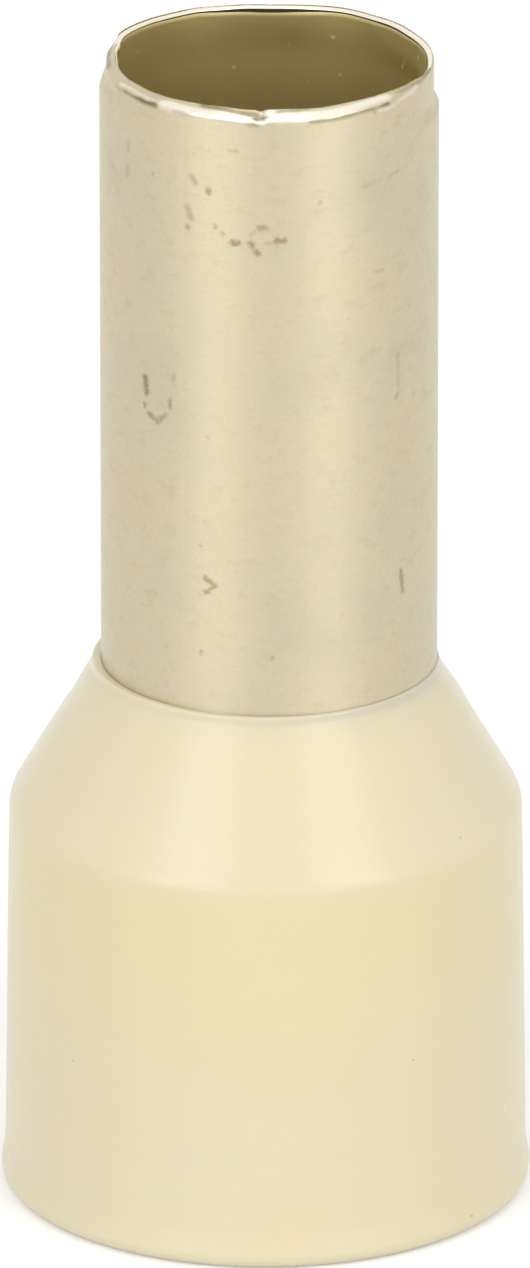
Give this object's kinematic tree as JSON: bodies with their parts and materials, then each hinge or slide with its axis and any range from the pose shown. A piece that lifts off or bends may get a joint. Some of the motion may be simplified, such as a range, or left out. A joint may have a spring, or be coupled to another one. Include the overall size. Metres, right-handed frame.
{
  "type": "insulated wire ferrule",
  "caption": "Insulated wire-end ferrule: a thin tinned sleeve with a rolled cut end and a hidden flare, held in a moulded collar with a conical shoulder and a funnel inside.",
  "frame": {"origin": "centre of the collar's mouth, at the base that the ferrule stands on", "axes": "+Z along the ferrule's axis, from the collar's mouth to the sleeve's cut end; X and Y are free, as the part is round"},
  "size_m": [0.0136, 0.0136, 0.0302],
  "materials": {
    "tinned_copper": "satin tin plating on copper",
    "ivory_plastic": "satin moulded polypropylene"
  },
  "bodies": {
    "root": {"metal_sleeve": "tinned_copper", "plastic_collar": "ivory_plastic"}
  },
  "joints": []
}
